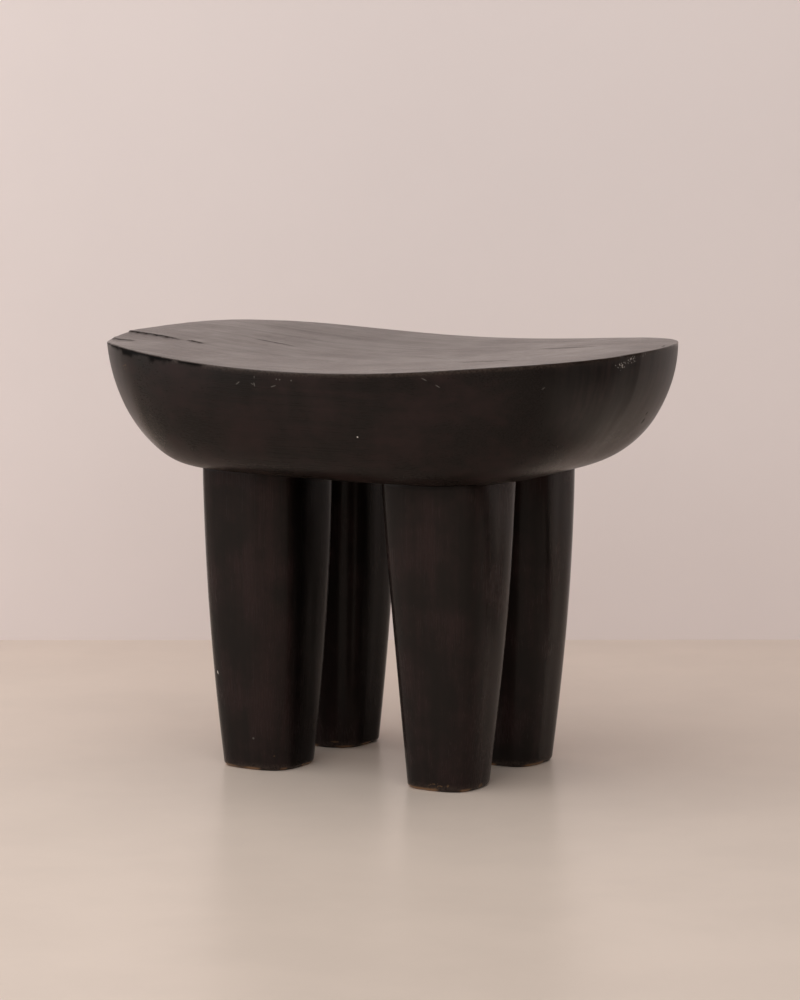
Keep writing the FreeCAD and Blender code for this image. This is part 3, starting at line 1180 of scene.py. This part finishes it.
@dataclass
class Leg:
    """A tapering leg of rounded-square section with a wedged round tenon on top."""

    seat: Seat
    corner: Corner
    drift: Pair
    foot_width: float
    seed: int
    section: float = 4.0
    marks: tuple[Mark, ...] = ()
    foot_section: float = 2.9
    slot: str = "leg_wood"
    fullness: float = 1.95
    bow: float = 0.0
    foot_edge: float = 3.8
    shoulder_edge: float = 0.8
    calm_below_shoulder: float = 25.0
    # The tenon, its saw cut and the hole that stops the cut
    tenon_root: float = 12.0
    stop_hole: float = 6.0
    stop_sides: int = 24
    tip_chamfer: float = 1.5
    joint_reach: float = 28.0
    saw_above: float = 4.0
    saw_beside: float = 5.0
    slice_height: float = 1.0
    # How finely the mesh is divided
    around: int = 192
    rings: int = 76
    edge_rings: int = 7
    shoulder_rings: int = 3
    shoulder_shares: Triple = (0.8, 0.6, 0.4)
    # Where the foot is rubbed and raw, the joint is bare and painted shade darkens the inner face
    rub_radius: float = 40.0
    rubbed_foot: Pair = (1.0, 9.0)
    raw_foot: Pair = (1.0, 4.0)
    raw_patches: Pair = (0.0, 0.4)
    joint_margin: float = 4.0
    sole_bare: float = 0.6
    inner_painted_shade: float = 0.7
    inner_turn: Pair = (0.88, 0.985)
    # How near the floor or the underside counts as on it
    level: float = 0.05

    def __post_init__(self) -> None:
        """Takes the leg's place and size from the frame."""
        self.node = f"leg_{self.corner.value}"
        self.axis = self.corner.axis
        low, high = box_mm(self.node)
        self.top_width = high[0] - low[0]
        self.tenon_tip = high[2]
        seeds = itertools.count(self.seed)
        self.ripples = (Ripple(next(seeds), (42, 42, 170), 0.7), Ripple(next(seeds), (11, 11, 80), 0.15))
        self.rub = Ripple(next(seeds), (9, 9, 900), 1.4)
        self.patches = Ripple(next(seeds), (16, 16, 900), 1.0)

    def half_width(self, share: Array) -> Array:
        """Half the leg's width at a share of its height."""
        fill = 1 - (1 - share) ** self.fullness
        return (self.foot_width + (self.top_width - self.foot_width) * fill) / 2

    def build_blank(self, hull: BVHTree) -> bpy.types.Object:
        """The leg with its tenon, before the tenon is sawn.

        Args:
            hull: the seat's surface, to which the shoulder is scribed.

        Returns:
            The object.
        """
        skin = Skin()
        angle = even_angles(self.around, 1.0, 1.0, self.section)
        square = outline(angle, 1.0, 1.0, self.section)
        out = unit(square)
        middle = self.axis + np.array(self.drift)
        shoulder = scribe(hull, middle + square * self.top_width / 2)
        worn = self.foot_edge + np.abs(self.rub.at(raised(middle + square * self.rub_radius, 0.0)))

        def ring(height: Array, inset: Array) -> Array:
            """The leg's outline.

            Args:
                height: the height of each point.
                inset: how far each is drawn in.

            Returns:
                Points in millimetres.
            """
            share = np.clip(height / self.seat.underside, 0.0, 1.0)
            half = self.half_width(share)
            squareness = self.foot_section + (self.section - self.foot_section) * share
            points = raised(middle + outline(angle, half, half, squareness), height)
            points[:, 0] += self.bow * 4 * share * (1 - share)
            uneven = sum(ripple.at(points) for ripple in self.ripples)
            uneven *= ease(shoulder - height, 0.0, self.calm_below_shoulder)
            points[:, :2] += out * (uneven - inset)[:, None]
            return points

        wall = skin.add(ring(np.zeros(self.around), worn))
        skin.cap(wall[::-1])
        for turn in quarter_turn(self.edge_rings):
            wall = skin.grow(wall, ring(worn * (1 - math.cos(turn)), worn * (1 - math.sin(turn))))
        for share in np.linspace(0.0, 1.0, self.rings + 1)[1:]:
            height = worn + (shoulder - self.shoulder_edge - worn) * share
            wall = skin.grow(wall, ring(height, np.zeros(self.around)))
        for turn in quarter_turn(self.shoulder_rings):
            height = shoulder - self.shoulder_edge * (1 - math.sin(turn))
            brow = ring(height, self.shoulder_edge * np.full(self.around, 1 - math.cos(turn)))
            wall = skin.grow(wall, brow)

        levels = (self.seat.underside, self.tenon_tip)
        root, tip = (flare(self.node, self.axis, level, self.joint_reach) for level in levels)
        circle = compass(angle)
        for share in self.shoulder_shares:
            plan = brow[:, :2] * share + (self.axis + circle * root) * (1 - share)
            wall = skin.grow(wall, raised(plan, scribe(hull, plan)))
        turned = [(root, self.seat.underside), (tip, self.tenon_tip - self.tip_chamfer)]
        for radius, height in [*turned, (tip - self.tip_chamfer, self.tenon_tip)]:
            wall = skin.grow(wall, raised(self.axis + circle * radius, height))
        skin.cap(wall)
        return skin.piece(f"carved_{self.node}")

    def kerf(self) -> bpy.types.Object:
        """What the saw takes out of the tenon: a wedge-shaped cut that ends in a round hole.

        Returns:
            The cutter.
        """
        points = points_of(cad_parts[self.corner.wedge])
        low, high = points[:, 2].min(), points[:, 2].max()
        thin = np.ptp(points[points[:, 2] < low + self.slice_height][:, 0])
        thick = np.ptp(points[points[:, 2] > high - self.slice_height][:, 0])
        slope = (thick - thin) / (high - low)
        hole = self.seat.underside + self.tenon_root
        radius = self.stop_hole / 2
        mouth = self.tenon_tip + self.saw_above
        half_mouth, half_foot = ((thin + slope * (height - low)) / 2 for height in (mouth, hole))
        start = math.asin(half_foot / radius)
        turn = np.linspace(start, 2 * math.pi - start, self.stop_sides)
        x = np.concatenate([radius * np.sin(turn), [-half_mouth, half_mouth]])
        z = np.concatenate([hole + radius * np.cos(turn), [mouth, mouth]])
        reach = self.joint_reach + self.saw_beside
        front = np.stack([self.axis[0] + x, np.full(len(x), self.axis[1] - reach), z], axis=-1)
        skin = Skin()
        skin.tube([front, front + np.array([0.0, 2 * reach, 0.0])])
        return skin.piece("kerf_saw")

    def build(self, hull: BVHTree) -> bpy.types.Object:
        """Makes the leg: its blank, sawn for the wedge.

        Args:
            hull: the seat's surface, to which the shoulder is scribed.

        Returns:
            The object.
        """
        piece = self.build_blank(hull)
        carve(piece, self.kerf())
        smooth(piece)
        return piece

    def dress(self, piece: bpy.types.Object, finish: bpy.types.Material) -> None:
        """Paints the wear and the shade on the inner face, and puts on the finish.

        Args:
            piece: the leg.
            finish: the material.
        """
        points = points_of(piece)
        height = points[:, 2]
        away = np.hypot(*(points[:, :2] - self.axis).T)
        worn = 1 - ease(height, *self.rubbed_foot)
        raw = (1 - ease(height, *self.raw_foot)) * ease(self.patches.at(points), *self.raw_patches)
        inside = away < self.top_width / 2 - self.joint_margin
        joint = inside & (height > self.seat.underside - self.level)
        bare = np.where(height < self.level, self.sole_bare, np.maximum(raw, joint))
        # Painted shade on the face turned in towards the other legs
        turned_in = -np.sign(self.axis[0]) * facing_of(piece)[:, 0]
        grime = self.inner_painted_shade * ease(turned_in, *self.inner_turn)
        paint(piece, {Layer.WORN: worn, Layer.BARE: bare, Layer.PAINTED_SHADE: grime})
        piece.data.materials.append(finish)


LEFT_MARKS = (
    Mark((-136, -108, 96), (1.2, 8, 2.6), Trace.CHALK, 20),
    Mark((-94, -108, 33), (1.4, 8, 1.4), Trace.DUST),
    Mark((-74, -98, 16), (2.2, 8, 1.8), Trace.TAN),
    Mark((-85, 36, 7), (7, 10, 1.6), Trace.TAN),
)
RIGHT_MARKS = (
    Mark((118, -110, 6), (18, 12, 3.6), Trace.TAN, scattered=True),
    Mark((144, -74, 3), (7, 6, 4), Trace.TAN),
)


# The studio


@dataclass
class Studio:
    """Pale floor and backdrop, soft lamps and the camera, laid out along the camera's view.

    Places are in metres, angles in degrees and the lens in millimetres.
    """

    azimuth: float = 30.5
    distance: float = 4.4
    height: float = 0.866
    pitch: float = 7.758
    yaw: float = 0.128
    lens: float = 159.7
    wall_behind: float = 0.74
    wall_left: float = 1.0
    wall_right: float = 2.6
    wall_height: float = 2.4
    floor_reach: float = 9.0
    # The flag's corners: how far ahead they lie, from its front to its back, and how high, from its toe
    flag_right: float = 0.62
    flag_ahead: Triple = (-1.4, 0.1, 0.2)
    flag_up: Triple = (0.015, 0.2, 0.46)
    dusk: Colour = (0.29, 0.268, 0.255)
    floor: PlainGround = PlainGround("pale_floor", (0.70, 0.592, 0.51), 0.04, 160.0, 0.30, 0.12)
    flag: PlainGround = PlainGround("dark_felt", (0.06, 0.055, 0.05), 0.1, 90.0, 0.9, 0.0)
    wall: PlainGround = PlainGround("pale_wall", (0.90, 0.81, 0.79), 0.02, 500.0, 0.8, 0.1, True)

    def __post_init__(self) -> None:
        """Works out the directions of the view."""
        self.right = compass(math.radians(self.azimuth))
        self.ahead = np.array([-self.right[1], self.right[0]])

    def spot(self, right: float, ahead: float, up: float) -> Array:
        """A place to the right, ahead and up as the camera sees it, in metres."""
        return np.array([*(self.right * right + self.ahead * ahead), up])

    def panel(self, name: str, corners: list[Array], ground: PlainGround) -> bpy.types.Object:
        """A flat panel of the stage.

        Args:
            name: its name.
            corners: its corners, anticlockwise seen from the front.
            ground: its finish.

        Returns:
            The object.
        """
        mesh = bpy.data.meshes.new(name)
        mesh.from_pydata([tuple(corner) for corner in corners], [], [tuple(range(len(corners)))])
        mesh.materials.append(ground.material())
        item = put(name, mesh)
        return item

    def build_stage(self) -> None:
        """Lays the floor, stands the backdrop and hangs the flag that keeps light off the right end."""
        reach = self.floor_reach
        sides = [(-reach, -reach), (reach, -reach), (reach, reach), (-reach, reach)]
        self.panel("floor", [self.spot(x, y, 0.0) for x, y in sides], self.floor)
        ends = [(-self.wall_left, 0.0), (self.wall_right, 0.0)]
        ends += [(x, self.wall_height) for x, _ in reversed(ends)]
        self.panel("backdrop", [self.spot(x, self.wall_behind, z) for x, z in ends], self.wall)
        front, turn, back = self.flag_ahead
        toe, foot, top = self.flag_up
        ends = [(front, top), (front, foot), (0.0, foot), (turn, toe), (back, toe)]
        ends += [(back, foot / 2), (turn, foot), (turn, top)]
        flag = self.panel("flag", [self.spot(self.flag_right, y, z) for y, z in ends], self.flag)
        flag.visible_camera = False

    def lamp(self, name: str, place: Array, aim: Array, size: Pair, glow: float) -> None:
        """A large soft lamp.

        Args:
            name: its name.
            place: where its middle is.
            aim: what it faces.
            size: its width and height in metres.
            glow: how bright its face is, where 1 is white.
        """
        light = bpy.data.lights.new(name, "AREA")
        light.shape = "RECTANGLE"
        light.size, light.size_y = size
        light.energy = glow * math.pi * size[0] * size[1]
        item = put(name, light)
        item.location = place
        item.rotation_euler = Vector(place - aim).to_track_quat("Z", "Y").to_euler()

    def build_light(self) -> None:
        """Hangs the lamps and dims the room."""
        middle = np.array([0.0, 0.0, 0.3])
        self.lamp("overhead_softbox", self.spot(-0.3, -0.2, 2.9), middle, (3.2, 3.2), 1.2)
        self.lamp("front_softbox", self.spot(-0.6, -2.4, 2.3), middle, (5.0, 2.4), 1.3)
        self.lamp("left_softbox", self.spot(-2.4, -0.1, 1.0), middle, (2.6, 1.9), 1.05)
        world = bpy.data.worlds.new("room")
        world.use_nodes = True
        world.node_tree.nodes["Background"].inputs["Color"].default_value = (*self.dusk, 1.0)
        bpy.context.scene.world = world

    def build_camera(self) -> None:
        """Sets up the camera where the photograph was taken from."""
        camera = bpy.data.cameras.new("photo_view")
        camera.lens = self.lens
        item = put("photo_view", camera)
        item.location = self.spot(0.0, -self.distance, self.height)
        item.rotation_euler = (math.radians(90 - self.pitch), 0.0, math.radians(self.azimuth - self.yaw))
        bpy.context.scene.camera = item
        bpy.context.scene.view_settings.view_transform = "Standard"


def settle(piece: bpy.types.Object, node: str) -> None:
    """Ties a piece to the frame.

    Args:
        piece: the finished piece.
        node: the CAD node that it stands for.
    """
    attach(piece, BODY)
    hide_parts(node)
    LOG.info("%s: %d faces", piece.name, len(piece.data.polygons))


def main() -> None:
    """Builds the stool, the studio and the camera."""
    logging.basicConfig(level=logging.INFO, format="%(name)s: %(message)s")
    seat = Seat()
    legs = [
        Leg(seat, Corner.FRONT_LEFT, (1.8, 4.4), 81.9, 100, 4.2, LEFT_MARKS),
        Leg(seat, Corner.FRONT_RIGHT, (4.2, -2.6), 73.3, 110, 4.7, RIGHT_MARKS, fullness=1.32, bow=1.5),
        Leg(seat, Corner.BACK_LEFT, (-1.0, 0.1), 79.8, 120, 3.6),
        Leg(seat, Corner.BACK_RIGHT, (-4.4, 0.8), 74.2, 130, 3.6),
    ]

    seat_finish = EbonisedWood("seat_ebonised", Grain.ALONG_SEAT, seat.marks).material()
    seat_piece = seat.build()
    seat.dress(seat_piece, seat_finish)
    settle(seat_piece, seat.node)

    leg_marks = tuple(mark for leg in legs for mark in leg.marks)
    leg_finish = EbonisedWood("leg_ebonised", Grain.UPRIGHT, leg_marks, gloss=(0.17, 0.29)).material()
    hull = BVHTree.FromObject(seat_piece, bpy.context.evaluated_depsgraph_get())
    for leg in legs:
        piece = leg.build(hull)
        leg.dress(piece, leg_finish)
        settle(piece, leg.node)

    wedge_finish = BareWood("wedge_bare", Grain.UPRIGHT).material()
    for corner in Corner:
        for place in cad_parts[corner.wedge].material_slots:
            place.material = wedge_finish
        LOG.info("%s: CAD piece with its own finish", corner.wedge)

    studio = Studio()
    studio.build_stage()
    studio.build_light()
    studio.build_camera()


if __name__ == "__main__":
    main()
